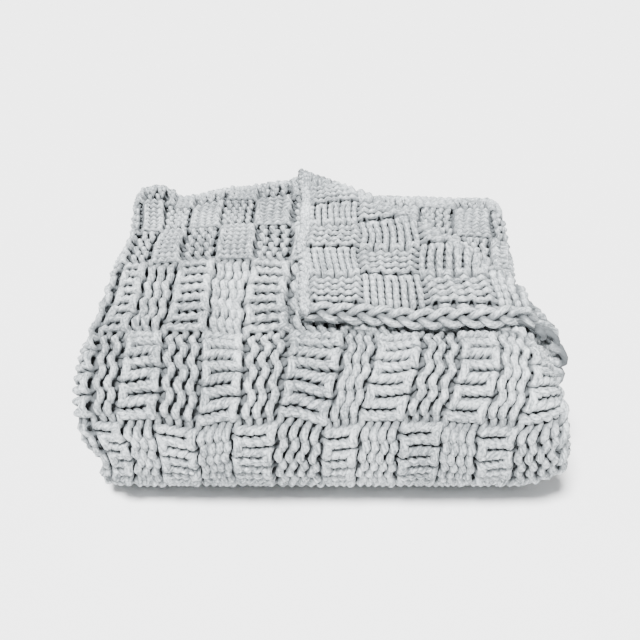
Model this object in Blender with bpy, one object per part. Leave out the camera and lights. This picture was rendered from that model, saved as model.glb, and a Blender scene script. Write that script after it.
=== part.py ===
"""Chunky knit throw, folded in thirds both ways, with its top corner turned back.

Metres, +Z up.  The cloth is one closed slab.  It is made flat, in the plane of its
length (s) and its width (v), and then carried round its folds.
"""
import bpy
import bmesh
import numpy as np
from math import pi, radians, sqrt
from mathutils import Vector

# cloth
THICK = 0.0190
LAYER_GAP = 0.0025
PITCH = THICK + LAYER_GAP

# fold in thirds along the length, seen across the pile (x against m, the height in a pack)
LEFT_X = -0.250
RIGHT_X = 0.244
TURN_R = PITCH / 2
TURN_OUT = TURN_R + THICK / 2
WRAP_R = TURN_OUT + LAYER_GAP + THICK / 2
HANG = 0.0340
INNER_END = 0.451

# fold across the width, seen from the side (y against z), for the middle of a pack
PACK = 3 * THICK + 2 * LAYER_GAP
BACK_Y = 0.215
TOP_BACK_Z = 0.199
TOP_LEN = 0.331
TOP_START_TILT = 5.0
TOP_END_TILT = 15.0
FRONT_R = 0.069
BACK_R = 0.0465
BOTTOM_LEN = 0.249
INNER_DROP = 10.0
INNER_SLOPE_LEN = 0.120
INNER_LEVEL = 8.0
INNER_FLAT_LEN = 0.125

# the outermost third gets shorter from the front fold down
SHORT_FROM = 0.330
SHORT_TO = 0.430
SHORT_BY = 0.038

# turned corner: the crease is the line s + CORNER_STRETCH * v = CREASE on the flat cloth
CREASE = 0.354
CORNER_STRETCH = 1.022
ROLL_R = 0.013
ROLL_OVER = 6.0
ROLL_SLOPE = 0.043

STEP = 0.0015
CREASE_CELLS = 6
MERGE = 0.0005
FLOOR_SNAP = 0.0006
SWELL_FROM = 0.002
SWELL_FULL = 0.05
# a stretch of the width path that lies level, in the middle of the bottom pack
LEVEL_FROM = 0.6
LEVEL_TO = 0.7
CLOTH_COLOUR = (0.60, 0.62, 0.64, 1.0)

# columns of the flat grid: length of cloth, number of cells
COLUMNS = [
    {"len": HANG, "cells": 2},
    {"len": WRAP_R * pi / 2, "cells": 6},
    {"len": RIGHT_X - LEFT_X - 2 * TURN_OUT, "cells": 17},
    {"len": TURN_R * pi, "cells": 5},
    {"len": RIGHT_X - LEFT_X - 2 * TURN_OUT, "cells": 9},
    {"len": TURN_R * pi, "cells": 5},
    {"len": INNER_END, "cells": 8},
]
# rows of the flat grid, from the back free edge of the top pack
ROWS = [
    {"len": TOP_LEN, "cells": 14},
    {"len": FRONT_R * radians(180 - TOP_END_TILT), "cells": 13},
    {"len": BOTTOM_LEN, "cells": 6},
    {"len": BACK_R * pi, "cells": 8},
    {"len": INNER_SLOPE_LEN, "cells": 3},
    {"len": INNER_FLAT_LEN, "cells": 3},
]

# how much looser a pack lies than where it is pulled round the front, along the width
LOFT = [
    {"v": 0.000, "by": 1.13},
    {"v": 0.220, "by": 1.13},
    {"v": 0.330, "by": 1.00},
    {"v": 0.530, "by": 1.00},
    {"v": 0.640, "by": 1.15},
    {"v": 1.000, "by": 1.15},
    {"v": 1.178, "by": 1.02},
]

# soft swells and troughs: centre, reach in each direction, and how far the cloth moves
SWELLS = [
    {"at": (-0.236, 0.205, 0.24), "reach": (0.045, 0.055, 0.06), "move": (0.0, 0.0, 0.013)},
    {"at": (-0.180, 0.200, 0.24), "reach": (0.036, 0.070, 0.08), "move": (0.0, 0.0, -0.007)},
    {"at": (-0.230, 0.110, 0.23), "reach": (0.060, 0.060, 0.07), "move": (0.008, 0.0, -0.003)},
    {"at": (-0.265, -0.150, 0.150), "reach": (0.080, 0.090, 0.07), "move": (-0.014, 0.0, 0.0)},
    {"at": (0.275, -0.150, 0.090), "reach": (0.090, 0.100, 0.07), "move": (0.020, 0.0, 0.0)},
    {"at": (-0.262, -0.170, 0.062), "reach": (0.032, 0.060, 0.022), "move": (0.016, 0.008, 0.0)},
    {"at": (-0.215, -0.215, 0.085), "reach": (0.050, 0.060, 0.030), "move": (0.004, 0.009, 0.0)},
    {"at": (-0.060, -0.215, 0.120), "reach": (0.110, 0.070, 0.06), "move": (0.0, -0.005, 0.0)},
    {"at": (0.150, -0.215, 0.100), "reach": (0.100, 0.070, 0.06), "move": (0.0, -0.006, 0.0)},
    {"at": (0.050, -0.215, 0.150), "reach": (0.060, 0.070, 0.05), "move": (0.0, 0.004, 0.0)},
    {"at": (-0.100, 0.020, 0.235), "reach": (0.090, 0.090, 0.07), "move": (0.0, 0.0, 0.004)},
    {"at": (0.120, 0.060, 0.240), "reach": (0.120, 0.090, 0.07), "move": (0.0, 0.0, 0.003)},
    {"at": (0.110, 0.200, 0.220), "reach": (0.150, 0.140, 0.10), "move": (0.0, 0.0, 0.024)},
    {"at": (0.285, -0.080, 0.200), "reach": (0.060, 0.120, 0.08), "move": (-0.009, 0.0, 0.0)},
    {"at": (0.235, 0.210, 0.210), "reach": (0.060, 0.070, 0.09), "move": (0.010, 0.0, 0.010)},
    {"at": (0.250, 0.100, 0.190), "reach": (0.090, 0.120, 0.08), "move": (0.010, 0.0, 0.0)},
    {"at": (0.262, -0.160, 0.030), "reach": (0.070, 0.090, 0.05), "move": (0.012, 0.0, 0.0)},
]


def clear_scene():
    for item in list(bpy.data.objects):
        bpy.data.objects.remove(item, do_unlink=True)


def trail(start, heading, steps):
    """Follow straight and curved steps (length, turn in degrees); returns a sampled path."""
    place = np.array(start, float)
    angle = radians(heading)
    rows = [(0.0, place[0], place[1], angle)]
    gone = 0.0
    for length, turn in steps:
        count = max(2, int(length / STEP))
        for index in range(count):
            angle += radians(turn) / count / 2
            place = place + np.array([np.cos(angle), np.sin(angle)]) * length / count
            angle += radians(turn) / count / 2
            gone += length / count
            rows.append((gone, place[0], place[1], angle))
    return np.array(rows)


def along(path, dist):
    """Place and heading at a distance along a path, straight on beyond both ends."""
    held = np.clip(dist, 0.0, path[-1, 0])
    angle = np.interp(held, path[:, 0], path[:, 3])
    first = np.interp(held, path[:, 0], path[:, 1]) + (dist - held) * np.cos(angle)
    second = np.interp(held, path[:, 0], path[:, 2]) + (dist - held) * np.sin(angle)
    return first, second, angle


def smooth_step(low, high, value):
    part = np.clip((value - low) / (high - low), 0.0, 1.0)
    return part * part * (3 - 2 * part)


def length_path():
    """Across the pile: up the overhang, over the top, and back and forth in thirds."""
    straight = RIGHT_X - LEFT_X - 2 * TURN_OUT
    start = (RIGHT_X - TURN_OUT + WRAP_R, -TURN_R - HANG)
    steps = [(HANG, 0), (WRAP_R * pi / 2, 90), (straight, 0), (TURN_R * pi, 180)]
    steps += [(straight, 0), (TURN_R * pi, -180), (INNER_END, 0)]
    return trail(start, 90, steps)


def width_path():
    """From the side: forward along the top, round the front, back, and in again."""
    steps = [(TOP_LEN, TOP_START_TILT + TOP_END_TILT)]
    steps += [(FRONT_R * radians(180 - TOP_END_TILT), 180 - TOP_END_TILT)]
    steps += [(BOTTOM_LEN, 0), (BACK_R * pi, 180)]
    steps += [(INNER_SLOPE_LEN, INNER_DROP), (INNER_FLAT_LEN, -INNER_LEVEL)]
    path = trail((BACK_Y, TOP_BACK_Z), 180 - TOP_START_TILT, steps)
    flat = path[(path[:, 0] > LEVEL_FROM) & (path[:, 0] < LEVEL_TO), 2].mean()
    path[:, 2] += PACK / 2 - flat
    return path


def roll_path():
    """Across the crease: out, round the roll and back over the top."""
    steps = [(ROLL_R * radians(180 + ROLL_OVER), 180 + ROLL_OVER)]
    steps += [(ROLL_SLOPE, 0), (ROLL_R * radians(ROLL_OVER), -ROLL_OVER)]
    return trail((0.0, 0.0), 0, steps)


PATHS = {"length": length_path(), "width": width_path(), "roll": roll_path()}


def turn_corner(s, v, n):
    """Carry the part beyond the crease round the roll, onto the outer face."""
    wide = v * CORNER_STRETCH
    past = (CREASE - s - wide) / sqrt(2)
    side = (s - wide) / sqrt(2)
    out, up, angle = along(PATHS["roll"], past)
    out = out - n * np.sin(angle)
    up = up + n * np.cos(angle)
    total = CREASE / sqrt(2) - out
    turned = past > 0
    new_s = np.where(turned, (total + side) / sqrt(2), s)
    new_v = np.where(turned, (total - side) / sqrt(2) / CORNER_STRETCH, v)
    return new_s, new_v, np.where(turned, up, n)


def swell(points):
    """Move points by the soft swells and troughs; nothing moves at the floor."""
    shift = np.zeros_like(points)
    for row in SWELLS:
        away = (points - np.array(row["at"])) / np.array(row["reach"])
        shift += np.exp(-(away ** 2).sum(axis=1))[:, None] * np.array(row["move"])
    return points + shift * smooth_step(SWELL_FROM, SWELL_FULL, points[:, 2])[:, None]


def fold(s, v, n):
    """From the flat cloth (length, width, height in the cloth) to the folded pile."""
    s, v, n = turn_corner(s, v, n)
    x, m, angle = along(PATHS["length"], s)
    x = x + n * np.sin(angle)
    m = m - n * np.cos(angle)
    loft = np.interp(v, [row["v"] for row in LOFT], [row["by"] for row in LOFT])
    m = np.where(m < PACK / 2, PACK / 2 + (m - PACK / 2) * loft, m)
    y, z, heading = along(PATHS["width"], v)
    y = y + m * np.sin(heading)
    z = z - m * np.cos(heading)
    return swell(np.stack([x, y, z], axis=1))


def marks(table):
    """Cell edges of one side of the flat grid."""
    edges = [0.0]
    for row in table:
        first = edges[-1]
        edges += [first + row["len"] * (i + 1) / row["cells"] for i in range(row["cells"])]
    return edges


def flat_grid():
    """The flat cloth as a grid of quads, cut again along the crease."""
    bm = bmesh.new()
    across = marks(COLUMNS)
    down = marks(ROWS)
    bmesh.ops.create_grid(bm, x_segments=len(across) - 1, y_segments=len(down) - 1, size=0.5)
    fold_start = sum(row["len"] for row in COLUMNS[:3])
    for vert in bm.verts:
        u = across[round((vert.co.x + 0.5) * (len(across) - 1))]
        v = down[round((vert.co.y + 0.5) * (len(down) - 1))]
        short = SHORT_BY * float(smooth_step(SHORT_FROM, SHORT_TO, np.array(v)))
        if u < fold_start:
            u = fold_start - (fold_start - u) * (fold_start - short) / fold_start
        vert.co = Vector((u, v, 0.0))
    cut_crease(bm)
    return bm


def cut_crease(bm):
    """Extra edges along the crease, so the roll is round."""
    arc = ROLL_R * radians(180 + ROLL_OVER)
    cuts = [arc * i / CREASE_CELLS for i in range(CREASE_CELLS + 1)] + [arc + ROLL_SLOPE]
    for cut in cuts:
        across = CREASE - cut * sqrt(2)
        geom = bm.verts[:] + bm.edges[:] + bm.faces[:]
        bmesh.ops.bisect_plane(bm, geom=geom, dist=1e-5, plane_co=(across, 0.0, 0.0),
                               plane_no=(1.0, CORNER_STRETCH, 0.0))
    bmesh.ops.remove_doubles(bm, verts=bm.verts[:], dist=MERGE)


def thicken(bm):
    """Give the flat grid its thickness, one face each side of the middle."""
    for vert in bm.verts:
        vert.co.z = -THICK / 2
    made = bmesh.ops.extrude_face_region(bm, geom=bm.faces[:])
    for item in made["geom"]:
        if isinstance(item, bmesh.types.BMVert):
            item.co.z = THICK / 2


def carry(bm):
    """Fold every point of the slab, and set the pile flat on the floor."""
    flat = np.array([vert.co for vert in bm.verts])
    folded = fold(flat[:, 0], flat[:, 1], flat[:, 2])
    folded[:, 2] -= folded[:, 2].min()
    folded[folded[:, 2] < FLOOR_SNAP, 2] = 0.0
    low = folded.min(axis=0)
    high = folded.max(axis=0)
    folded[:, :2] -= (low[:2] + high[:2]) / 2
    for vert, place in zip(bm.verts, folded):
        vert.co = Vector(place)


def cloth_material():
    material = bpy.data.materials.new("grey_knit")
    material.use_nodes = True
    shader = material.node_tree.nodes["Principled BSDF"]
    shader.inputs["Base Color"].default_value = CLOTH_COLOUR
    shader.inputs["Roughness"].default_value = 0.9
    shader.inputs["Metallic"].default_value = 0.0
    return material


def make_throw():
    bm = flat_grid()
    thicken(bm)
    carry(bm)
    bmesh.ops.triangulate(bm, faces=bm.faces[:], quad_method="SHORT_EDGE")
    bmesh.ops.recalc_face_normals(bm, faces=bm.faces[:])
    mesh = bpy.data.meshes.new("throw")
    bm.to_mesh(mesh)
    bm.free()
    mesh.materials.append(cloth_material())
    throw = bpy.data.objects.new("throw", mesh)
    bpy.context.scene.collection.objects.link(throw)
    for face in mesh.polygons:
        face.use_smooth = True
    return throw


clear_scene()
make_throw()
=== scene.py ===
"""Folded chunky knit throw, knitted loop by loop over the folds of its solid.

The cloth is worked out flat, in the plane of its length (s) and its width (v), and
then carried round the same folds as the solid.  Every course of yarn is one curve.
"""
from math import pi, radians, sqrt
import bmesh
import bpy
import numpy as np
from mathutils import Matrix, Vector


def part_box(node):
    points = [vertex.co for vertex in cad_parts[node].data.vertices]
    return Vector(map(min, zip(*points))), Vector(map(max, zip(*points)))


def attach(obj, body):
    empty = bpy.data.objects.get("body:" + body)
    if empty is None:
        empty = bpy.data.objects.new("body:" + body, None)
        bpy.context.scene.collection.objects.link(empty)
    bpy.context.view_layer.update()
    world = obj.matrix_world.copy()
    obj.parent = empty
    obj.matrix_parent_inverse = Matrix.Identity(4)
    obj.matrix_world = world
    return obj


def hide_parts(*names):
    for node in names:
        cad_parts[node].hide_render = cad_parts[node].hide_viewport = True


bl_info = {
    "name": "Folded knit throw",
    "version": (1, 0, 0),
    "blender": (4, 5, 0),
    "location": "3D View > Sidebar > Throw",
    "description": "Builds a folded chunky knit throw from loops of yarn",
    "category": "Object",
}

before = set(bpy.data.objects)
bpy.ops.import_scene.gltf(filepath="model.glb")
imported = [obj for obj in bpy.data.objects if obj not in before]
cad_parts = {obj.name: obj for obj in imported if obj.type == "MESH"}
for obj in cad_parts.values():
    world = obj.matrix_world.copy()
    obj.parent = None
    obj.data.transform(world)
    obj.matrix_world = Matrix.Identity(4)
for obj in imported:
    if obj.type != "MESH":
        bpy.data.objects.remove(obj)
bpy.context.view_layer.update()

# the folds, as in the solid's source
THICK = 0.0190
LAYER_GAP = 0.0025
PITCH = THICK + LAYER_GAP
LEFT_X = -0.250
RIGHT_X = 0.244
TURN_R = PITCH / 2
TURN_OUT = TURN_R + THICK / 2
WRAP_R = TURN_OUT + LAYER_GAP + THICK / 2
HANG = 0.0340
STRAIGHT = RIGHT_X - LEFT_X - 2 * TURN_OUT
INNER_END = 0.451
PACK = 3 * THICK + 2 * LAYER_GAP
BACK_Y = 0.215
TOP_BACK_Z = 0.199
TOP_LEN = 0.331
TOP_START_TILT = 5.0
TOP_END_TILT = 15.0
FRONT_R = 0.069
BACK_R = 0.0465
BOTTOM_LEN = 0.249
INNER_DROP = 10.0
INNER_SLOPE_LEN = 0.120
INNER_LEVEL = 8.0
INNER_FLAT_LEN = 0.125
SHORT_FROM = 0.330
SHORT_TO = 0.430
SHORT_BY = 0.038
CREASE = 0.354
CORNER_STRETCH = 1.022
ROLL_R = 0.013
ROLL_OVER = 6.0
ROLL_SLOPE = 0.043
STEP = 0.0015
# height over the floor at which the swells begin, and at which they have their full effect
SWELL_FROM = 0.002
SWELL_FULL = 0.050

# length of cloth used up at the end of each part of the fold in thirds
WRAP_END = HANG + WRAP_R * pi / 2
TOP_END = WRAP_END + STRAIGHT
LEFT_END = TOP_END + TURN_R * pi
BACK_END = LEFT_END + STRAIGHT
RIGHT_END = BACK_END + TURN_R * pi
CLOTH_LEN = RIGHT_END + INNER_END
# width of cloth used up at the end of each part of the fold across
FRONT_END = TOP_LEN + FRONT_R * radians(180 - TOP_END_TILT)
BOTTOM_END = FRONT_END + BOTTOM_LEN
BACK_TURN_END = BOTTOM_END + BACK_R * pi
CLOTH_WIDE = BACK_TURN_END + INNER_SLOPE_LEN + INNER_FLAT_LEN

LOFT = [
    {"v": 0.000, "by": 1.13},
    {"v": 0.220, "by": 1.13},
    {"v": 0.330, "by": 1.00},
    {"v": 0.530, "by": 1.00},
    {"v": 0.640, "by": 1.15},
    {"v": 1.000, "by": 1.15},
    {"v": 1.178, "by": 1.02},
]
SWELLS = [
    {"at": (-0.236, 0.205, 0.24), "reach": (0.045, 0.055, 0.06), "move": (0.0, 0.0, 0.013)},
    {"at": (-0.180, 0.200, 0.24), "reach": (0.036, 0.070, 0.08), "move": (0.0, 0.0, -0.007)},
    {"at": (-0.230, 0.110, 0.23), "reach": (0.060, 0.060, 0.07), "move": (0.008, 0.0, -0.003)},
    {"at": (-0.265, -0.150, 0.150), "reach": (0.080, 0.090, 0.07), "move": (-0.014, 0.0, 0.0)},
    {"at": (0.275, -0.150, 0.090), "reach": (0.090, 0.100, 0.07), "move": (0.020, 0.0, 0.0)},
    {"at": (-0.262, -0.170, 0.062), "reach": (0.032, 0.060, 0.022), "move": (0.016, 0.008, 0.0)},
    {"at": (-0.215, -0.215, 0.085), "reach": (0.050, 0.060, 0.030), "move": (0.004, 0.009, 0.0)},
    {"at": (-0.060, -0.215, 0.120), "reach": (0.110, 0.070, 0.06), "move": (0.0, -0.005, 0.0)},
    {"at": (0.150, -0.215, 0.100), "reach": (0.100, 0.070, 0.06), "move": (0.0, -0.006, 0.0)},
    {"at": (0.050, -0.215, 0.150), "reach": (0.060, 0.070, 0.05), "move": (0.0, 0.004, 0.0)},
    {"at": (-0.100, 0.020, 0.235), "reach": (0.090, 0.090, 0.07), "move": (0.0, 0.0, 0.004)},
    {"at": (0.120, 0.060, 0.240), "reach": (0.120, 0.090, 0.07), "move": (0.0, 0.0, 0.003)},
    {"at": (0.110, 0.200, 0.220), "reach": (0.150, 0.140, 0.10), "move": (0.0, 0.0, 0.024)},
    {"at": (0.285, -0.080, 0.200), "reach": (0.060, 0.120, 0.08), "move": (-0.009, 0.0, 0.0)},
    {"at": (0.235, 0.210, 0.210), "reach": (0.060, 0.070, 0.09), "move": (0.010, 0.0, 0.010)},
    {"at": (0.250, 0.100, 0.190), "reach": (0.090, 0.120, 0.08), "move": (0.010, 0.0, 0.0)},
    {"at": (0.262, -0.160, 0.030), "reach": (0.070, 0.090, 0.05), "move": (0.012, 0.0, 0.0)},
]

# finer knobs and creases than the solid has, at the back edge and at the roll's right end
CREASES = [
    {"at": (-0.222, 0.190, 0.250), "reach": (0.020, 0.050, 0.060), "move": (0.0, 0.0, 0.012)},
    {"at": (-0.200, 0.185, 0.250), "reach": (0.010, 0.050, 0.060), "move": (0.0, 0.0, -0.004)},
    {"at": (-0.130, 0.200, 0.250), "reach": (0.070, 0.050, 0.060), "move": (0.0, 0.0, 0.0125)},
    {"at": (-0.075, 0.200, 0.250), "reach": (0.035, 0.050, 0.060), "move": (0.0, 0.0, 0.006)},
    {"at": (-0.048, 0.205, 0.250), "reach": (0.032, 0.050, 0.060), "move": (0.0, 0.0, 0.0075)},
    {"at": (0.085, 0.200, 0.250), "reach": (0.050, 0.050, 0.060), "move": (0.0, 0.0, 0.005)},
    {"at": (0.250, -0.085, 0.225), "reach": (0.036, 0.060, 0.040), "move": (-0.007, 0.0, -0.014)},
]

# blocks along the length on the outer face, from the bound-off end: where each ends, its courses
OUTER_BLOCKS = [
    {"end": 0.020, "count": 2},
    {"end": 0.069, "count": 5},
    {"end": 0.106, "count": 4},
    {"end": 0.148, "count": 5},
    {"end": 0.192, "count": 4},
    {"end": 0.241, "count": 5},
    {"end": 0.279, "count": 4},
    {"end": 0.337, "count": 5},
    {"end": 0.385, "count": 4},
    {"end": 0.428, "count": 5},
    {"end": 0.4725, "count": 4},
    {"end": 0.510, "count": 4},
    {"end": 0.538, "count": 3},
    {"end": 0.572, "count": 4},
    {"end": 0.620, "count": 5},
]
# blocks along the width on the outer face, from the back edge: where each ends, its wales
OUTER_ROWS = [
    {"end": 0.037, "count": 3},
    {"end": 0.105, "count": 4},
    {"end": 0.189, "count": 4},
    {"end": 0.316, "count": 4},
    {"end": 0.398, "count": 4},
    {"end": 0.480, "count": 4},
    {"end": 0.570, "count": 4},
    {"end": 0.665, "count": 4},
    {"end": 0.760, "count": 4},
    {"end": 0.840, "count": 4},
    {"end": 0.915, "count": 4},
    {"end": 1.000, "count": 4},
    {"end": 1.085, "count": 4},
    {"end": 1.170, "count": 4},
]
# the same on the turned corner, whose stitches are pulled the other way
FLAP_BLOCKS = [
    {"end": 0.0735, "count": 5},
    {"end": 0.122, "count": 5},
    {"end": 0.172, "count": 5},
    {"end": 0.215, "count": 4},
    {"end": 0.265, "count": 5},
    {"end": 0.315, "count": 5},
    {"end": 0.365, "count": 5},
]
FLAP_ROWS = [
    {"end": 0.008, "count": 1},
    {"end": 0.069, "count": 4},
    {"end": 0.137, "count": 4},
    {"end": 0.215, "count": 4},
    {"end": 0.250, "count": 2},
    {"end": 0.365, "count": 6},
]
# the second third, seen beyond the turned corner and at the right side
BACK_BLOCKS = [
    {"end": 0.760, "count": 4},
    {"end": 0.805, "count": 5},
    {"end": 0.848, "count": 4},
    {"end": 0.893, "count": 5},
    {"end": 0.936, "count": 4},
    {"end": 0.981, "count": 5},
    {"end": 1.020, "count": 4},
    {"end": 1.062, "count": 5},
    {"end": 1.100, "count": 4},
]
# the far end of the last third, seen in the hollow from the left
INNER_BLOCKS = [
    {"end": 1.462, "count": 4},
    {"end": 1.506, "count": 4},
]

# points of the curve in one wale, and how round the yarn is
SEGMENTS = 12
YARN_ROUND = 2

# widths of cloth at which the top's small stitches end and the underside begins
TOP_ROWS_END = 0.316
TOP_BLEND = 0.020
UNDER_FROM = 0.570
UNDER_BLEND = 0.030

# courses of the main stitches, by their length along the cloth, in three pieces
MAIN_GROUPS = {"right": (0.0, 0.240), "middle": (0.240, 0.430), "left": (0.430, 1.0)}

# depth below the cloth's face at which the yarn's painted shade starts, and where it is darkest
SHADE_FROM = 0.0006
SHADE_FULL = 0.0078

# slow waves of the rows and of the columns
ROW_WAVES = (0.0016, 0.0012)
COLUMN_WAVES = (0.0018, 0.0014)

# the outermost purl loops of a block: wider, higher and fuller than the rest
RIM_LEAN = 0.17
RIM_LIFT = 0.0014
RIM_PLUMP = 0.05

# how the yarn's thickness follows the width of its wale, within limits, and its loop's size
PLUMP_LEAST = 0.76
PLUMP_MOST = 1.20
PLUMP_BY_WALE = 0.70
PLUMP_BY_SIZE = 0.30
# slimmer yarn round the left end of the pile: how much, and where it starts and ends
SLIM_LEFT = 0.16
SLIM_LEFT_START = (0.515, 0.545)
SLIM_LEFT_STOP = (0.600, 0.640)
# fuller yarn on the roll of the turned corner, by how far it is past the crease
FULL_ON_ROLL = 0.45
ROLL_START = (-0.004, 0.012)
ROLL_STOP = (0.036, 0.052)

# width of cloth that the turned corner hides, and how far from the crease that starts
HIDDEN_TO = 0.245
HIDDEN_MARGIN = 0.050
# how far stitches run on past the crease, the sides, the back turn and the right turn
FLAP_MARGIN = 0.015
SIDE_MARGIN = 0.006
BACK_MARGIN = 0.020
SECOND_MARGIN = 0.012
# length of cloth at which the second third comes out from under the turned corner
SECOND_SHOWS_FROM = 0.7264

# points in one turn of a chain, its thin ends, and how much less deep its painted shade starts
CHAIN_STEPS = 18
CHAIN_END_POINTS = 4
CHAIN_END_PLUMP = 0.7
CHAIN_SHADE_EASE = 0.0025
# how far each chain lies in from its edge of the cloth
BOUND_IN = 0.010
BOUND_OUT = -0.002
CAST_IN = 0.004
SELVAGE_IN = 0.0045
# the bound edge curls in over the front, is drawn in at the corner, and sinks past the crease
CURL_START = (0.200, 0.270)
CURL_STOP = (0.500, 0.600)
CURL_IN = 0.012
CURL_SINK = 0.002
DRAWN_OVER = 0.120
DRAWN_IN = 0.008
SINK_OVER = 0.040

# the ground sheet, near-black as painted shade for the shaded inside of the knit: its grid, its inset
# from the edges, and how far it lies behind each face
GROUND_COLUMNS = 188
GROUND_ROWS = 146
GROUND_INSET = 0.004
GROUND_BEHIND = 0.0060
GROUND_CHANGES = (0.030, 0.130)
GROUND_TURNS = (-0.002, 0.016)

FLOOR_SIZE = 40.0
KEY_FROM = (-0.4, -0.95, 2.0)
KEY_SPREAD = 16.0
SENSOR = 36.0
BODY = "root"


def trail(start, heading, steps):
    """Follow straight and curved steps (length, turn in degrees); returns a sampled path."""
    place = np.array(start, float)
    angle = radians(heading)
    rows = [(0.0, place[0], place[1], angle)]
    gone = 0.0
    for length, turn in steps:
        count = max(2, int(length / STEP))
        for index in range(count):
            angle += radians(turn) / count / 2
            place = place + np.array([np.cos(angle), np.sin(angle)]) * length / count
            angle += radians(turn) / count / 2
            gone += length / count
            rows.append((gone, place[0], place[1], angle))
    return np.array(rows)


def along(path, dist):
    """Place and heading at a distance along a path, straight on beyond both ends."""
    held = np.clip(dist, 0.0, path[-1, 0])
    angle = np.interp(held, path[:, 0], path[:, 3])
    first = np.interp(held, path[:, 0], path[:, 1]) + (dist - held) * np.cos(angle)
    second = np.interp(held, path[:, 0], path[:, 2]) + (dist - held) * np.sin(angle)
    return first, second, angle


def smooth_step(low, high, value):
    """From 0 at low to 1 at high, where low may also be the larger one."""
    part = np.clip((value - low) / (high - low), 0.0, 1.0)
    return part * part * (3 - 2 * part)


def length_path():
    """Across the pile: up the overhang, over the top, and back and forth in thirds."""
    start = (RIGHT_X - TURN_OUT + WRAP_R, -TURN_R - HANG)
    steps = [(HANG, 0), (WRAP_R * pi / 2, 90), (STRAIGHT, 0), (TURN_R * pi, 180)]
    steps += [(STRAIGHT, 0), (TURN_R * pi, -180), (INNER_END, 0)]
    return trail(start, 90, steps)


def width_path():
    """From the side: forward along the top, round the front, back, and in again."""
    steps = [(TOP_LEN, TOP_START_TILT + TOP_END_TILT)]
    steps += [(FRONT_R * radians(180 - TOP_END_TILT), 180 - TOP_END_TILT)]
    steps += [(BOTTOM_LEN, 0), (BACK_R * pi, 180)]
    steps += [(INNER_SLOPE_LEN, INNER_DROP), (INNER_FLAT_LEN, -INNER_LEVEL)]
    path = trail((BACK_Y, TOP_BACK_Z), 180 - TOP_START_TILT, steps)
    bottom = (path[:, 0] > FRONT_END + STEP) & (path[:, 0] < BOTTOM_END - STEP)
    path[:, 2] += PACK / 2 - path[bottom, 2].mean()
    return path


def roll_path():
    """Across the crease: out, round the roll and back over the top."""
    steps = [(ROLL_R * radians(180 + ROLL_OVER), 180 + ROLL_OVER)]
    steps += [(ROLL_SLOPE, 0), (ROLL_R * radians(ROLL_OVER), -ROLL_OVER)]
    return trail((0.0, 0.0), 0, steps)


PATHS = {"length": length_path(), "width": width_path(), "roll": roll_path()}


def past_crease(s, v):
    """How far a place on the flat cloth is beyond the crease of the turned corner."""
    return (CREASE - s - v * CORNER_STRETCH) / sqrt(2)


def turn_corner(s, v, n):
    """Carry the part beyond the crease round the roll, onto the outer face."""
    wide = v * CORNER_STRETCH
    past = past_crease(s, v)
    side = (s - wide) / sqrt(2)
    out, up, angle = along(PATHS["roll"], past)
    out = out - n * np.sin(angle)
    up = up + n * np.cos(angle)
    total = CREASE / sqrt(2) - out
    turned = past > 0
    new_s = np.where(turned, (total + side) / sqrt(2), s)
    new_v = np.where(turned, (total - side) / sqrt(2) / CORNER_STRETCH, v)
    return new_s, new_v, np.where(turned, up, n)


def swell(points):
    """Move points by the soft swells and troughs; nothing moves at the floor."""
    shift = np.zeros_like(points)
    for row in SWELLS:
        away = (points - np.array(row["at"])) / np.array(row["reach"])
        shift += np.exp(-(away ** 2).sum(axis=1))[:, None] * np.array(row["move"])
    return points + shift * smooth_step(SWELL_FROM, SWELL_FULL, points[:, 2])[:, None]


def fold(s, v, n):
    """From the flat cloth (length, width, height in the cloth) to the folded pile."""
    short = SHORT_BY * smooth_step(SHORT_FROM, SHORT_TO, v)
    s = np.where(s < TOP_END, TOP_END - (TOP_END - s) * (TOP_END - short) / TOP_END, s)
    s, v, n = turn_corner(s, v, n)
    x, m, angle = along(PATHS["length"], s)
    x = x + n * np.sin(angle)
    m = m - n * np.cos(angle)
    loft = np.interp(v, [row["v"] for row in LOFT], [row["by"] for row in LOFT])
    m = np.where(m < PACK / 2, PACK / 2 + (m - PACK / 2) * loft, m)
    y, z, heading = along(PATHS["width"], v)
    y = y + m * np.sin(heading)
    z = z - m * np.cos(heading)
    return swell(np.stack([x, y, z], axis=1))


def pile_shift():
    """From the folds' own place to the solid's, by the lowest and outermost points."""
    s, v = np.meshgrid(np.arange(0, CLOTH_LEN, 0.004), np.arange(0, CLOTH_WIDE, 0.004))
    both = [fold(s.ravel(), v.ravel(), np.full(s.size, n)) for n in (-THICK / 2, THICK / 2)]
    points = np.concatenate(both)
    low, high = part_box("throw")
    middle = (np.array(low) + np.array(high)) / 2 - (points.min(axis=0) + points.max(axis=0)) / 2
    return np.array([middle[0], middle[1], low[2] - points[:, 2].min()])


SHIFT = pile_shift()


def drift(s, v):
    """Slow waves in the rows and columns, as hand-tensioned knitting has."""
    row_slow = np.sin(31 * v + 2.1 * np.sin(9 * s))
    row_fast = np.sin(74 * v + 17 * s + 1.3)
    column_slow = np.sin(37 * s + 1.7 * np.sin(11 * v))
    column_fast = np.sin(83 * s + 23 * v + 0.4)
    along_s = ROW_WAVES[0] * row_slow + ROW_WAVES[1] * row_fast
    along_v = COLUMN_WAVES[0] * column_slow + COLUMN_WAVES[1] * column_fast
    return s + along_s, v + along_v


def lay(s, v, n):
    """Points of the flat cloth, in the place where they lie in the pile."""
    s, v = drift(s, v)
    points = fold(s, v, n) + SHIFT
    for row in CREASES:
        away = (points - np.array(row["at"])) / np.array(row["reach"])
        points += np.exp(-(away ** 2).sum(axis=1))[:, None] * np.array(row["move"])
    points[:, 2] = np.maximum(points[:, 2], 0.0)
    return points


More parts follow.
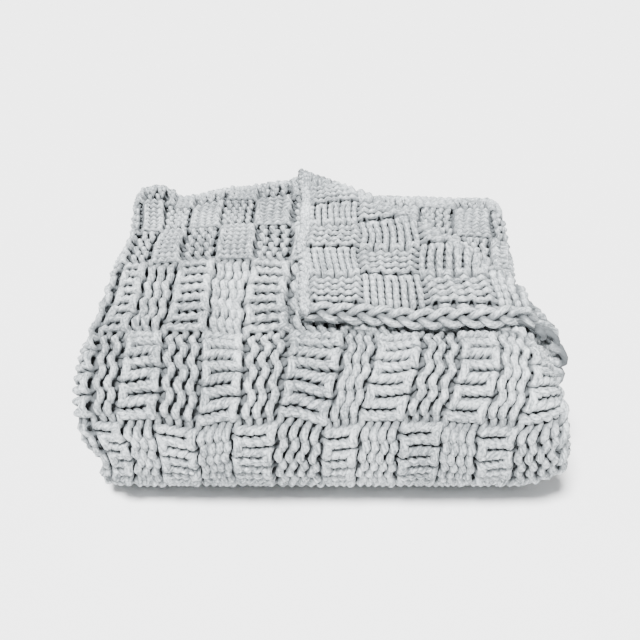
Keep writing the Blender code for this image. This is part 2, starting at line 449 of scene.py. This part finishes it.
class Yarn:
    """Runs of yarn gathered as curves, and then made one mesh piece."""

    def __init__(self, name, thick):
        self.curve = bpy.data.curves.new(name, "CURVE")
        self.curve.dimensions = "3D"
        self.curve.bevel_depth = thick / 2
        self.curve.bevel_resolution = YARN_ROUND
        self.curve.use_fill_caps = True
        self.name = name
        self.lengths = []
        self.middles = []

    def on_cloth(self, s, v, n, plump, face):
        """One strand by its places in the flat cloth; face is the side of the cloth that it is on."""
        points = lay(s, v, n)
        # the way out of the cloth and the depth below its face set the yarn's painted shade
        outward = lay(s, v, n + 0.001 * face) - points
        self.run(points, plump, outward, THICK / 2 - n * face)

    def run(self, points, plump, outward, below):
        """One strand, with the way to the open air and how deep its middle is below it, which set its
        painted shade.
        """
        outward = outward / np.maximum(np.linalg.norm(outward, axis=1), 1e-9)[:, None]
        spline = self.curve.splines.new("POLY")
        spline.points.add(len(points) - 1)
        spline.points.foreach_set("co", np.column_stack([points, np.ones(len(points))]).ravel())
        spline.points.foreach_set("radius", plump)
        spline.use_smooth = True
        self.lengths.append((len(points), np.linalg.norm(np.diff(points, axis=0), axis=1).sum()))
        self.middles.append(np.column_stack([points, outward, below]))

    def finish(self, material):
        """A mesh piece whose UV map runs in metres along and round the yarn."""
        holder = bpy.data.objects.new(self.name + "_curve", self.curve)
        bpy.context.scene.collection.objects.link(holder)
        bpy.context.view_layer.update()
        drawn = holder.evaluated_get(bpy.context.evaluated_depsgraph_get())
        mesh = bpy.data.meshes.new_from_object(drawn)
        bpy.data.objects.remove(holder, do_unlink=True)
        self.measure_uv(mesh)
        self.mark_painted_shade(mesh)
        self.close_ends(mesh)
        mesh.materials.clear()
        mesh.materials.append(material)
        return add_piece(self.name, mesh)

    def mark_painted_shade(self, mesh):
        """Painted shade: keep, at every point, how dark the yarn is painted by how deep it is below the
        face of the cloth: 0 to 1.
        """
        sides = 2 * (self.curve.bevel_resolution + 2)
        caps = 2 * sides * len(self.middles)
        middles = np.repeat(np.concatenate(self.middles), sides, axis=0)
        if len(middles) + caps != len(mesh.vertices):
            raise RuntimeError(f"{self.name}: {len(middles) + caps} points expected")
        places = np.zeros(len(mesh.vertices) * 3)
        mesh.vertices.foreach_get("co", places)
        away = places.reshape(-1, 3)[caps:] - middles[:, :3]
        below = middles[:, 6] - (away * middles[:, 3:6]).sum(axis=1)
        values = np.ones(len(mesh.vertices))
        values[caps:] = smooth_step(SHADE_FROM, SHADE_FULL, below)
        layer = mesh.attributes.new("depth", "FLOAT", "POINT")
        layer.data.foreach_set("value", values.astype(np.float32))

    def close_ends(self, mesh):
        """Join each cap to its tube, so that every run of yarn is closed."""
        bm = bmesh.new()
        bm.from_mesh(mesh)
        bmesh.ops.remove_doubles(bm, verts=bm.verts[:], dist=1e-6)
        bm.to_mesh(mesh)
        bm.free()

    def measure_uv(self, mesh):
        """Stretch each run's map to its real length, so the fibre has one scale; caps come first."""
        layer = mesh.uv_layers[0]
        values = np.zeros(len(mesh.loops) * 2)
        layer.data.foreach_get("uv", values)
        values = values.reshape(-1, 2)
        sides = 2 * (self.curve.bevel_resolution + 2)
        start = 2 * (sides - 2) * 3 * len(self.lengths)
        for count, length in self.lengths:
            loops = (count - 1) * sides * 4
            values[start:start + loops, 0] = values[start:start + loops, 0] * length
            start += loops
        if start != len(mesh.loops):
            raise RuntimeError(f"{self.name}: {start} loops expected, {len(mesh.loops)} made")
        values[:, 1] *= pi * 2 * self.curve.bevel_depth
        layer.data.foreach_set("uv", values.ravel())


def add_piece(name, mesh):
    """A smooth piece that rides on the body and stands for the solid."""
    for face in mesh.polygons:
        face.use_smooth = True
    piece = bpy.data.objects.new(name, mesh)
    bpy.context.scene.collection.objects.link(piece)
    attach(piece, BODY)
    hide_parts("throw")
    return piece


def ladder(table):
    """Borders of every course or wale, and the number of the block that it is in."""
    edges = [0.0]
    block = []
    for number, row in enumerate(table):
        first = edges[-1]
        edges += [first + (row["end"] - first) * (i + 1) / row["count"] for i in range(row["count"])]
        block += [number] * row["count"]
    return np.array(edges), np.array(block)


def read(edges, at):
    """Length at a place counted in courses or wales, straight on beyond both ends."""
    index = np.arange(len(edges))
    value = np.interp(at, index, edges)
    value = np.where(at < 0, edges[0] + at * (edges[1] - edges[0]), value)
    beyond = at - (len(edges) - 1)
    return np.where(beyond > 0, edges[-1] + beyond * (edges[-1] - edges[-2]), value)


def wander(seed, shape, soft):
    """Slow unevenness from stitch to stitch, from -1 to 1."""
    rng = np.random.default_rng(seed)
    rough = rng.uniform(-1, 1, shape)
    for _ in range(soft):
        padded = np.pad(rough, 1, mode="edge")
        rough = (padded[:-2, 1:-1] + padded[2:, 1:-1] + padded[1:-1, :-2] + padded[1:-1, 2:]
                 + 2 * padded[1:-1, 1:-1]) / 6
    return rough / np.abs(rough).max()


class Knit:
    """One grid of stitches on one face of the cloth."""

    def __init__(self, blocks, rows, face, knit, seed, start=0.0, shift=0):
        self.course_edges, self.course_block = ladder(blocks)
        end = blocks[0]["end"]
        count = blocks[0]["count"]
        self.course_edges[:count + 1] = np.linspace(start, end, count + 1)
        self.wale_edges, self.wale_block = ladder(rows)
        self.face = face
        self.shift = shift
        self.knit = knit
        shape = (len(self.course_block), len(self.wale_block))
        self.slide_s = wander(seed, shape, 2)
        self.slide_v = wander(seed + 1, shape, 2)
        self.size = wander(seed + 2, shape, 0)

    def sign(self, course, wale):
        """1 where the face shows a plain stitch, and -1 where it shows a purl."""
        wale = np.clip(wale, 0, len(self.wale_block) - 1)
        odd = (self.course_block[course] + self.wale_block[wale] + self.shift) % 2
        return np.where(odd == 1, 1.0, -1.0)

    def height(self, course, at):
        """The stitch's sign, changed softly where two blocks meet."""
        soft = self.knit["soft"]
        wale = np.floor(at).astype(int)
        part = at - wale
        own = self.sign(course, wale)
        before = self.sign(course, wale - 1)
        after = self.sign(course, wale + 1)
        low = np.clip(part / soft, 0, 1)
        high = np.clip((1 - part) / soft, 0, 1)
        own_low = own * (0.5 + 0.5 * low) + before * (0.5 - 0.5 * low)
        own_high = own * (0.5 + 0.5 * high) + after * (0.5 - 0.5 * high)
        return np.where(part < 0.5, own_low, own_high)

    def at_border(self, course, lean):
        """From 0 to 1, how far the yarn leans out of its block, in the block's outermost courses."""
        own = self.course_block[course]
        is_first = course == 0 or self.course_block[course - 1] != own
        is_last = course == len(self.course_block) - 1 or self.course_block[course + 1] != own
        return is_first * np.maximum(lean, 0.0) + is_last * np.maximum(-lean, 0.0)

    def inward(self, course, s):
        """From 1 at the near end of the course's block to -1 at its far end."""
        own = self.course_block[course]
        inside = np.flatnonzero(self.course_block == own)
        near = self.course_edges[inside[0]]
        far = self.course_edges[inside[-1] + 1]
        value = 1 - 2 * (s - near) / (far - near)
        if own == 0:
            value = np.minimum(value, 0.0)
        if own == self.course_block[-1]:
            value = np.maximum(value, 0.0)
        return value

    def course(self, course, first, last):
        """Yarn of one course from one wale border to another: s, v, n and plumpness."""
        knit = self.knit
        at = np.linspace(first, last, int(round((last - first) * SEGMENTS)) + 1)
        turn = 2 * pi * at
        middle = course + 0.5
        pitch = self.course_edges[course + 1] - self.course_edges[course]
        pick = np.clip(at - 0.5, 0, len(self.wale_block) - 1)
        column = np.arange(len(self.wale_block))
        size = 1 + knit["uneven"] * np.interp(pick, column, self.size[course])
        rise = self.height(course, at)
        reach = by_rise(rise, knit["reach_purl"], knit["reach_plain"]) * size * pitch
        width = read(self.wale_edges, at)
        on_top = smooth_step(TOP_ROWS_END + TOP_BLEND, TOP_ROWS_END - TOP_BLEND, width)
        lean_plain = knit["lean_plain"] + (knit["lean_top"] - knit["lean_plain"]) * on_top
        outer = self.at_border(course, np.cos(turn))
        rim = knit["rim"] * outer * (1 - rise) / 2
        rim = rim * smooth_step(UNDER_FROM, UNDER_FROM - UNDER_BLEND, width)
        border = outer * by_rise(rise, knit["border_purl"], knit["border_plain"])
        lean = by_rise(rise, knit["lean_purl"], lean_plain) + RIM_LEAN * rim
        s = read(self.course_edges, middle - reach / pitch * np.cos(turn) * (1 + border))
        v = read(self.wale_edges, at + lean * np.sin(2 * turn))
        own_sign = np.interp(pick, column, self.sign(course, column))
        s = s + knit["even_out"] * own_sign * self.inward(course, s)
        s = s + knit["slide"] * np.interp(pick, column, self.slide_s[course])
        v = v + knit["slide"] * np.interp(pick, column, self.slide_v[course])
        deep = THICK / 2 - knit["deep"] - knit["thick"] / 2
        wave = rise * np.cos(2 * turn)
        n = self.face * (deep - wave * knit["deep"] + RIM_LIFT * rim)
        plump = self.by_wale(at) * (1 + PLUMP_BY_SIZE * (size - 1)) * (1 - knit["swell"] * wave)
        plump = plump * by_rise(rise, knit["plump_purl"], knit["plump_plain"])
        plump = plump * (1 - knit["slim_top"] * on_top) * (1 + RIM_PLUMP * rim)
        return s, v, n, plump * by_place(s, v)

    def by_wale(self, at):
        """Plumpness by the width of the wale, evened out from one wale to the next."""
        wale = np.clip(np.floor(at).astype(int), 0, len(self.wale_block) - 1)
        wide = self.wale_edges[wale + 1] - self.wale_edges[wale]
        window = np.ones(SEGMENTS + 1) / (SEGMENTS + 1)
        wide = np.convolve(np.pad(wide, SEGMENTS // 2, mode="edge"), window, mode="valid")
        plump = 1 - PLUMP_BY_WALE + PLUMP_BY_WALE * wide / self.knit["wide"]
        return np.clip(plump, PLUMP_LEAST, PLUMP_MOST)


def by_rise(rise, purl, plain):
    """A measure of the stitch, changed softly from its purl value to its plain one."""
    return purl + (plain - purl) * (rise + 1) / 2


def by_place(s, v):
    """Slimmer yarn round the pile's left end, and fuller yarn on the roll of the turned corner."""
    at_left = smooth_step(*SLIM_LEFT_START, s) * smooth_step(*reversed(SLIM_LEFT_STOP), s)
    past = past_crease(s, v)
    on_roll = smooth_step(*ROLL_START, past) * smooth_step(*reversed(ROLL_STOP), past) * (s < TOP_END)
    return (1 - SLIM_LEFT * at_left) * (1 + FULL_ON_ROLL * on_roll)


def knit_ranges(yarn, grid, ranges):
    """Add the yarn of each course between the widths that ranges gives for it."""
    for course in range(len(grid.course_block)):
        middle = (grid.course_edges[course] + grid.course_edges[course + 1]) / 2
        for low, high in ranges(middle):
            first = int(np.searchsorted(grid.wale_edges, low - 1e-6))
            last = int(np.searchsorted(grid.wale_edges, high + 1e-6)) - 1
            if last > first:
                yarn.on_cloth(*grid.course(course, first, last), grid.face)


def cover_under_flap(s):
    """Width at which the turned corner no longer hides the cloth under it."""
    return HIDDEN_TO if s < CREASE - HIDDEN_MARGIN else 0.0


def main_ranges(s):
    """Outer face on the top and round the front."""
    return [(cover_under_flap(s), UNDER_FROM)]


def side_ranges(s):
    """Outer face under and behind: whole at both sides, and round the back elsewhere."""
    at_side = s < WRAP_END + SIDE_MARGIN or s > TOP_END - SIDE_MARGIN
    if at_side:
        return [(UNDER_FROM, CLOTH_WIDE)]
    return [(BOTTOM_END - BACK_MARGIN, BACK_TURN_END + BACK_MARGIN)]


def flap_ranges(s):
    """The turned corner, as far as its crease."""
    return [(0.0, (CREASE - s + FLAP_MARGIN) / CORNER_STRETCH)]


def back_ranges(s):
    """The second third: beyond the turned corner, and down the right side."""
    if s > BACK_END - SECOND_MARGIN:
        return [(0.0, CLOTH_WIDE)]
    return [(0.0, (s - SECOND_SHOWS_FROM) / CORNER_STRETCH)]


def edge_roll(v):
    """How far the bound-off edge curls in over the front of the pile, at its right end."""
    return smooth_step(*CURL_START, v) * smooth_step(*reversed(CURL_STOP), v)


def plait(yarn, start, end, chain):
    """Three strands plaited along one edge of the cloth, turned a little onto its rim."""
    start = np.array(start, float)
    end = np.array(end, float)
    length = np.linalg.norm(end - start)
    way = (end - start) / length
    across = np.array([-way[1], way[0]])
    tilt = radians(chain["tilt"])
    dist = np.arange(0, length, chain["pitch"] / CHAIN_STEPS)
    middle_s = start[0] + way[0] * dist
    middle_v = start[1] + way[1] * dist
    curl = chain["curl"] * edge_roll(middle_v)
    drawn_in = chain["curl"] * smooth_step(DRAWN_OVER, 0.0, middle_v)
    middle_s = middle_s + CURL_IN * curl + DRAWN_IN * drawn_in
    turned = smooth_step(0.0, SINK_OVER, past_crease(middle_s, middle_v)) * (middle_s < TOP_END)
    sink = chain["sink"] * turned + CURL_SINK * curl
    middle = lay(middle_s, middle_v, sink)
    for strand in range(3):
        turn = 2 * pi * (dist / chain["pitch"] + strand / 3)
        side = chain["wide"] * np.sin(turn)
        lift = chain["high"] * np.sin(2 * turn)
        beside = side * np.cos(tilt) + lift * np.sin(tilt)
        n = side * np.sin(tilt) - lift * np.cos(tilt)
        points = lay(middle_s + across[0] * beside, middle_v + across[1] * beside, n + sink)
        plump = np.ones(len(dist))
        plump[:CHAIN_END_POINTS] = CHAIN_END_PLUMP
        plump[-CHAIN_END_POINTS:] = CHAIN_END_PLUMP
        # depth of each point below the plait's outer surface, which sets its painted shade
        out = points - middle
        outermost = chain["wide"] + yarn.curve.bevel_depth - CHAIN_SHADE_EASE
        below = outermost - np.linalg.norm(out, axis=1)
        yarn.run(points, plump, out, below)


class Socket:
    """A shader socket that adds Math nodes when it meets an operator."""

    def __init__(self, tree, socket):
        self.tree = tree
        self.socket = socket

    def maths(self, operation, first, second):
        node = self.tree.nodes.new("ShaderNodeMath")
        node.operation = operation
        for index, value in enumerate((first, second)):
            if isinstance(value, Socket):
                self.tree.links.new(value.socket, node.inputs[index])
            else:
                node.inputs[index].default_value = value
        return Socket(self.tree, node.outputs[0])

    def __add__(self, other):
        return self.maths("ADD", self, other)

    def __radd__(self, other):
        return self.maths("ADD", other, self)

    def __sub__(self, other):
        return self.maths("SUBTRACT", self, other)

    def __rsub__(self, other):
        return self.maths("SUBTRACT", other, self)

    def __mul__(self, other):
        return self.maths("MULTIPLY", self, other)

    def __rmul__(self, other):
        return self.maths("MULTIPLY", other, self)


class Finish:
    """A material under construction."""

    def __init__(self, name):
        self.material = bpy.data.materials.new(name)
        self.material.use_nodes = True
        self.tree = self.material.node_tree
        self.shader = self.tree.nodes["Principled BSDF"]

    def node(self, kind, output=0, settings=None, **values):
        """Any node: its settings first, and then the values or links of its sockets."""
        node = self.tree.nodes.new(kind)
        for name, value in (settings or {}).items():
            setattr(node, name, value)
        for name, value in values.items():
            self.feed(node.inputs[name.replace("_", " ")], value)
        return Socket(self.tree, node.outputs[output])

    def feed(self, target, value):
        if isinstance(value, Socket):
            self.tree.links.new(value.socket, target)
        else:
            target.default_value = value

    def set(self, **values):
        for name, value in values.items():
            self.feed(self.shader.inputs[name.replace("_", " ")], value)

    def mix(self, factor, first, second):
        node = self.tree.nodes.new("ShaderNodeMix")
        node.data_type = "RGBA"
        self.feed(node.inputs["Factor"], factor)
        self.feed(node.inputs[6], first)
        self.feed(node.inputs[7], second)
        return Socket(self.tree, node.outputs[2])


def noise(finish, vector, scale, detail=2.0):
    """Noise at a scale, from 0 to 1."""
    return finish.node("ShaderNodeTexNoise", Vector=vector, Scale=scale, Detail=detail)


def yarn_material(facts):
    """Soft matt yarn: fine fibres along the strand, faint fuzz, slight changes of grey, and painted
    shade where the yarn runs deep below the cloth's face.
    """
    finish = Finish("yarn")
    map_place = finish.node("ShaderNodeUVMap")
    object_place = finish.node("ShaderNodeTexCoord", "Object")
    twisted = finish.node("ShaderNodeMapping", Vector=map_place, Rotation=(0.0, 0.0, radians(28)))
    streak_place = finish.node("ShaderNodeMapping", Vector=twisted, Scale=(0.22, 1.0, 1.0))
    streaks = noise(finish, streak_place, scale=470.0, detail=4.0)
    fuzz = noise(finish, object_place, scale=330.0, detail=4.0)
    cloud = noise(finish, object_place, scale=14.0)
    depth = streaks * 0.6 + fuzz * 0.4
    bump = finish.node("ShaderNodeBump", Height=depth, Strength=0.8, Distance=0.0018)
    tone = (cloud * 0.20 + streaks * 0.45 + fuzz * 0.35 - 0.5) * 4.8 + 0.38
    colour = finish.mix(tone, tuple(facts.yarn_dark), tuple(facts.yarn_light))
    # painted shade: the yarn darkened towards a deep grey where it runs below the cloth's face
    deep = finish.node("ShaderNodeAttribute", "Fac", {"attribute_name": "depth"})
    colour = finish.mix(deep, colour, tuple(facts.yarn_painted_shade))
    finish.set(Base_Color=colour, Roughness=0.92, Normal=bump)
    finish.set(Metallic=0.0, Specular_IOR_Level=0.2)
    return finish.material


def ground_shade_material(facts):
    """Painted shade: a near-black sheet standing for the shaded inside of the knit, behind the stitches.
    """
    finish = Finish("knit_ground_shade")
    place = finish.node("ShaderNodeTexCoord", "Object")
    map_place = finish.node("ShaderNodeUVMap")
    waves = finish.node("ShaderNodeTexWave", 1, {"bands_direction": "X"}, Vector=map_place,
                        Scale=36.0, Distortion=2.0)
    fuzz = noise(finish, place, scale=700.0, detail=3.0)
    bump = finish.node("ShaderNodeBump", Height=waves * 0.8 + fuzz * 0.2, Strength=0.8, Distance=0.002)
    colour = finish.mix(waves * 0.6 + fuzz * 0.4, tuple(facts.ground_shade_dark), tuple(facts.ground_shade_light))
    finish.set(Base_Color=colour, Roughness=0.95, Normal=bump)
    finish.set(Metallic=0.0)
    return finish.material


def floor_material():
    """Plain, pale and matt."""
    finish = Finish("pale_floor")
    finish.set(Base_Color=(0.93, 0.93, 0.93, 1.0), Roughness=0.9, Metallic=0.0)
    return finish.material


def finish_named(name, maker):
    """The material of that name, made the first time that it is asked for."""
    return bpy.data.materials.get(name) or maker()


class ThrowFacts(bpy.types.PropertyGroup):
    yarn_thick: bpy.props.FloatProperty(
        name="Yarn thickness", description="Thickness of the yarn in the main stitches",
        default=0.0082, subtype="DISTANCE", unit="LENGTH")
    reach_plain: bpy.props.FloatProperty(
        name="Plain loop reach", description="How far a plain loop reaches each way, in courses",
        default=0.78, subtype="FACTOR")
    reach_purl: bpy.props.FloatProperty(
        name="Purl loop reach", description="How far a purl loop reaches each way, in courses",
        default=0.71, subtype="FACTOR")
    loop_slide: bpy.props.FloatProperty(
        name="Loop slide", description="How far a loop may stray from its place in the rows",
        default=0.0022, subtype="DISTANCE", unit="LENGTH")
    loop_depth: bpy.props.FloatProperty(
        name="Loop depth", description="How far a loop rises and sinks in the cloth",
        default=0.0044, subtype="DISTANCE", unit="LENGTH")
    edge_thick: bpy.props.FloatProperty(
        name="Edge yarn thickness", description="Thickness of the yarn in the bound-off edge",
        default=0.0087, subtype="DISTANCE", unit="LENGTH")
    ground_thick: bpy.props.FloatProperty(
        name="Ground thickness", description="Thickness of the sheet behind the stitches",
        default=0.0050, subtype="DISTANCE", unit="LENGTH")
    yarn_light: bpy.props.FloatVectorProperty(
        name="Light yarn", description="Lighter grey of the yarn", size=4,
        default=(0.71, 0.747, 0.767, 1.0), subtype="COLOR")
    yarn_dark: bpy.props.FloatVectorProperty(
        name="Dark yarn", description="Darker grey of the yarn", size=4,
        default=(0.145, 0.160, 0.169, 1.0), subtype="COLOR")
    # painted shade: the grey that the yarn is darkened to where it runs deep below the face
    yarn_painted_shade: bpy.props.FloatVectorProperty(
        name="Painted shade on yarn", description="Grey of the yarn where it runs behind the face", size=4,
        default=(0.105, 0.115, 0.122, 1.0), subtype="COLOR")
    # painted shade: near-black greys of the ground sheet, seen between the stitches where the knit is
    # shaded
    ground_shade_light: bpy.props.FloatVectorProperty(
        name="Light ground shade", description="Lighter grey between the stitches", size=4,
        default=(0.105, 0.115, 0.122, 1.0), subtype="COLOR")
    ground_shade_dark: bpy.props.FloatVectorProperty(
        name="Dark ground shade", description="Darker grey between the stitches", size=4,
        default=(0.058, 0.064, 0.068, 1.0), subtype="COLOR")


class StudioFacts(bpy.types.PropertyGroup):
    lens: bpy.props.FloatProperty(
        name="Lens", description="Focal length of the camera in millimetres", default=56.25)
    camera_place: bpy.props.FloatVectorProperty(
        name="Camera place", description="Where the camera stands", size=3,
        default=(-0.008, -1.074, 0.763), subtype="TRANSLATION", unit="LENGTH")
    look_down: bpy.props.FloatProperty(
        name="Look down", description="Angle of the camera below the horizon",
        default=radians(30), subtype="ANGLE", unit="ROTATION")
    world_light: bpy.props.FloatProperty(
        name="Room light", description="Strength of the even light of the room", default=0.56)
    key_light: bpy.props.FloatProperty(
        name="Key light", description="Strength of the broad soft key light", default=14.5)


def facts():
    """The sizes and colours that the panel shows."""
    return bpy.context.scene.throw_facts


def knit_facts(wide, lean, thick, plump, slim_top=0.0, even_out=0.0, rim=0.0):
    """Measures of one kind of stitch; reach and lean are parts of a course and of a wale."""
    return {"wide": wide, "lean_plain": lean[0], "lean_purl": lean[1], "lean_top": lean[2],
            "reach_plain": facts().reach_plain, "reach_purl": facts().reach_purl,
            "thick": thick, "deep": facts().loop_depth, "soft": 0.22,
            "plump_plain": plump[0], "plump_purl": plump[1], "slim_top": slim_top, "swell": 0.20,
            "border_plain": -0.26, "border_purl": 0.12, "even_out": even_out, "rim": rim,
            "slide": facts().loop_slide, "uneven": 0.11}


def main_grid():
    """The outer face."""
    knit = knit_facts(0.024, (0.022, 0.135, 0.105), facts().yarn_thick, (1.13, 1.09), 0.21, 0.0023, 1.0)
    return Knit(OUTER_BLOCKS, OUTER_ROWS, 1, knit, 11)


def flap_grid():
    """The other face of the cloth, on the turned corner."""
    thick = facts().yarn_thick * 0.96
    knit = knit_facts(0.018, (0.085, 0.115, 0.085), thick, (0.88, 0.84))
    return Knit(FLAP_BLOCKS, FLAP_ROWS, -1, knit, 23, start=0.023, shift=1)


def back_grid():
    """The second third."""
    knit = knit_facts(0.022, (0.055, 0.105, 0.065), facts().yarn_thick, (0.96, 0.88))
    return Knit(BACK_BLOCKS, OUTER_ROWS, -1, knit, 37, start=0.715)


def inner_grid():
    """The far end of the last third."""
    knit = knit_facts(0.022, (0.055, 0.105, 0.065), facts().yarn_thick, (0.96, 0.88))
    return Knit(INNER_BLOCKS, OUTER_ROWS, -1, knit, 53, start=1.418)


def ground_offset(s, v):
    """Middle of the ground sheet in the cloth: always behind the face that shows."""
    beyond = smooth_step(LEFT_END + GROUND_CHANGES[0], LEFT_END + GROUND_CHANGES[1], s)
    turned = smooth_step(*GROUND_TURNS, past_crease(s, v)) * (s < TOP_END)
    return GROUND_BEHIND * (2 * np.maximum(beyond, turned) - 1)


class THROW_OT_ground(bpy.types.Operator):
    """Builds the ground of the knit, one near-black sheet of painted shade on the same folds"""
    bl_idname = "throw.ground"
    bl_label = "Knit ground"

    def execute(self, context):
        bm = bmesh.new()
        bmesh.ops.create_grid(bm, x_segments=GROUND_COLUMNS, y_segments=GROUND_ROWS, size=0.5)
        for vert in bm.verts:
            s = 2 * GROUND_INSET + (vert.co.x + 0.5) * (CLOTH_LEN - 3 * GROUND_INSET)
            v = GROUND_INSET + (vert.co.y + 0.5) * (CLOTH_WIDE - 2 * GROUND_INSET)
            vert.co = Vector((s, v, -facts().ground_thick / 2))
        made = bmesh.ops.extrude_face_region(bm, geom=bm.faces[:])
        for item in made["geom"]:
            if isinstance(item, bmesh.types.BMVert):
                item.co.z = facts().ground_thick / 2
        layer = bm.loops.layers.uv.new("UVMap")
        for face in bm.faces:
            for loop in face.loops:
                loop[layer].uv = loop.vert.co.xy
        flat = np.array([vert.co for vert in bm.verts])
        n = flat[:, 2] + ground_offset(flat[:, 0], flat[:, 1])
        for vert, place in zip(bm.verts, lay(flat[:, 0], flat[:, 1], n)):
            vert.co = Vector(place)
        bmesh.ops.recalc_face_normals(bm, faces=bm.faces[:])
        mesh = bpy.data.meshes.new("knit_ground_shade")
        bm.to_mesh(mesh)
        bm.free()
        mesh.materials.append(finish_named("knit_ground_shade", lambda: ground_shade_material(facts())))
        add_piece("knit_ground_shade", mesh)
        return {"FINISHED"}


def yarn_finish():
    """The one material of all yarn."""
    return finish_named("yarn", lambda: yarn_material(facts()))


class THROW_OT_main(bpy.types.Operator):
    """Knits the top and front of the outer third, in groups of courses"""
    bl_idname = "throw.main"
    bl_label = "Main stitches"

    def execute(self, context):
        grid = main_grid()
        middles = (grid.course_edges[:-1] + grid.course_edges[1:]) / 2
        for name, (low, high) in MAIN_GROUPS.items():
            yarn = Yarn(f"stitches_{name}", facts().yarn_thick)
            chosen = middles[(middles >= low) & (middles < high)]

            def ranges(s, chosen=chosen):
                return main_ranges(s) if np.any(np.abs(chosen - s) < 1e-9) else []
            knit_ranges(yarn, grid, ranges)
            yarn.finish(yarn_finish())
        return {"FINISHED"}


class THROW_OT_sides(bpy.types.Operator):
    """Knits the outer face at the sides of the lower packs and round the back"""
    bl_idname = "throw.sides"
    bl_label = "Side and back stitches"

    def execute(self, context):
        yarn = Yarn("stitches_sides", facts().yarn_thick)
        knit_ranges(yarn, main_grid(), side_ranges)
        yarn.finish(yarn_finish())
        return {"FINISHED"}


class THROW_OT_flap(bpy.types.Operator):
    """Knits the turned corner"""
    bl_idname = "throw.flap"
    bl_label = "Turned corner stitches"

    def execute(self, context):
        yarn = Yarn("stitches_corner", facts().yarn_thick * 0.96)
        knit_ranges(yarn, flap_grid(), flap_ranges)
        yarn.finish(yarn_finish())
        return {"FINISHED"}


class THROW_OT_back(bpy.types.Operator):
    """Knits the second third, and the far end of the last third"""
    bl_idname = "throw.back"
    bl_label = "Second third stitches"

    def execute(self, context):
        yarn = Yarn("stitches_second", facts().yarn_thick)
        knit_ranges(yarn, back_grid(), back_ranges)
        yarn.finish(yarn_finish())
        yarn = Yarn("stitches_inner", facts().yarn_thick)
        knit_ranges(yarn, inner_grid(), lambda s: [(0.0, CLOTH_WIDE)])
        yarn.finish(yarn_finish())
        return {"FINISHED"}


class THROW_OT_edges(bpy.types.Operator):
    """Plaits the bound-off edge, the cast-on edge and both selvages"""
    bl_idname = "throw.edges"
    bl_label = "Edges"

    def execute(self, context):
        bound = {"pitch": 0.066, "wide": 0.0080, "high": 0.0036, "sink": 0.0010, "curl": 1.0, "tilt": 50}
        cast = {**bound, "curl": 0.0}
        slim = {"pitch": 0.032, "wide": 0.0032, "high": 0.0044, "sink": 0.0, "curl": 0.0, "tilt": 0}
        yarn = Yarn("bound_edge", facts().edge_thick)
        plait(yarn, (BOUND_IN, BOUND_OUT), (BOUND_IN, CLOTH_WIDE), bound)
        plait(yarn, (CLOTH_LEN - CAST_IN, CLOTH_WIDE), (CLOTH_LEN - CAST_IN, 0.0), cast)
        yarn.finish(yarn_finish())
        yarn = Yarn("selvages", facts().yarn_thick)
        far = CLOTH_WIDE - SELVAGE_IN
        plait(yarn, (BOUND_IN, SELVAGE_IN), (CLOTH_LEN, SELVAGE_IN), slim)
        plait(yarn, (CLOTH_LEN, far), (0.0, far), slim)
        yarn.finish(yarn_finish())
        return {"FINISHED"}


def soft_light(name, toward, spread, strength):
    """A broad soft light from far away, shining against the direction toward it."""
    data = bpy.data.lights.new(name, "SUN")
    data.angle = spread
    data.energy = strength
    lamp = bpy.data.objects.new(name, data)
    bpy.context.scene.collection.objects.link(lamp)
    lamp.location = toward
    lamp.rotation_euler = Vector(toward).to_track_quat("Z", "Y").to_euler()
    return lamp


class THROW_OT_stage(bpy.types.Operator):
    """Sets the floor, the light and the camera"""
    bl_idname = "throw.stage"
    bl_label = "Stage"

    def execute(self, context):
        studio = context.scene.studio_facts
        bm = bmesh.new()
        bmesh.ops.create_grid(bm, x_segments=2, y_segments=2, size=FLOOR_SIZE)
        mesh = bpy.data.meshes.new("floor")
        bm.to_mesh(mesh)
        bm.free()
        mesh.materials.append(floor_material())
        floor = bpy.data.objects.new("floor", mesh)
        context.scene.collection.objects.link(floor)
        world = bpy.data.worlds.new("room")
        context.scene.world = world
        world.use_nodes = True
        sky = world.node_tree.nodes["Background"]
        sky.inputs["Color"].default_value = (1.0, 1.0, 1.0, 1.0)
        sky.inputs["Strength"].default_value = studio.world_light
        soft_light("key", KEY_FROM, radians(KEY_SPREAD), studio.key_light)
        data = bpy.data.cameras.new("photo_view")
        data.lens = studio.lens
        data.sensor_width = SENSOR
        camera = bpy.data.objects.new("photo_view", data)
        context.scene.collection.objects.link(camera)
        camera.location = studio.camera_place
        camera.rotation_euler = (pi / 2 - studio.look_down, 0.0, 0.0)
        context.scene.camera = camera
        return {"FINISHED"}


class THROW_PT_panel(bpy.types.Panel):
    """Shows the throw's and the studio's settings, and a button for each building step"""
    bl_idname = "THROW_PT_panel"
    bl_label = "Folded knit throw"
    bl_space_type = "VIEW_3D"
    bl_region_type = "UI"
    bl_category = "Throw"

    def draw(self, context):
        for facts_name in ("throw_facts", "studio_facts"):
            group = getattr(context.scene, facts_name)
            for name in group.bl_rna.properties.keys():
                if name not in ("rna_type", "name"):
                    self.layout.prop(group, name)
        for step in STEPS:
            self.layout.operator(step.bl_idname)


STEPS = [THROW_OT_ground, THROW_OT_main, THROW_OT_sides, THROW_OT_flap, THROW_OT_back,
         THROW_OT_edges, THROW_OT_stage]
CLASSES = [ThrowFacts, StudioFacts, *STEPS, THROW_PT_panel]


def register():
    for item in CLASSES:
        bpy.utils.register_class(item)
    bpy.types.Scene.throw_facts = bpy.props.PointerProperty(type=ThrowFacts)
    bpy.types.Scene.studio_facts = bpy.props.PointerProperty(type=StudioFacts)


def unregister():
    del bpy.types.Scene.throw_facts
    del bpy.types.Scene.studio_facts
    for item in reversed(CLASSES):
        bpy.utils.unregister_class(item)


def main():
    register()
    bpy.ops.throw.ground()
    bpy.ops.throw.main()
    bpy.ops.throw.sides()
    bpy.ops.throw.flap()
    bpy.ops.throw.back()
    bpy.ops.throw.edges()
    bpy.ops.throw.stage()


if __name__ == "__main__":
    main()
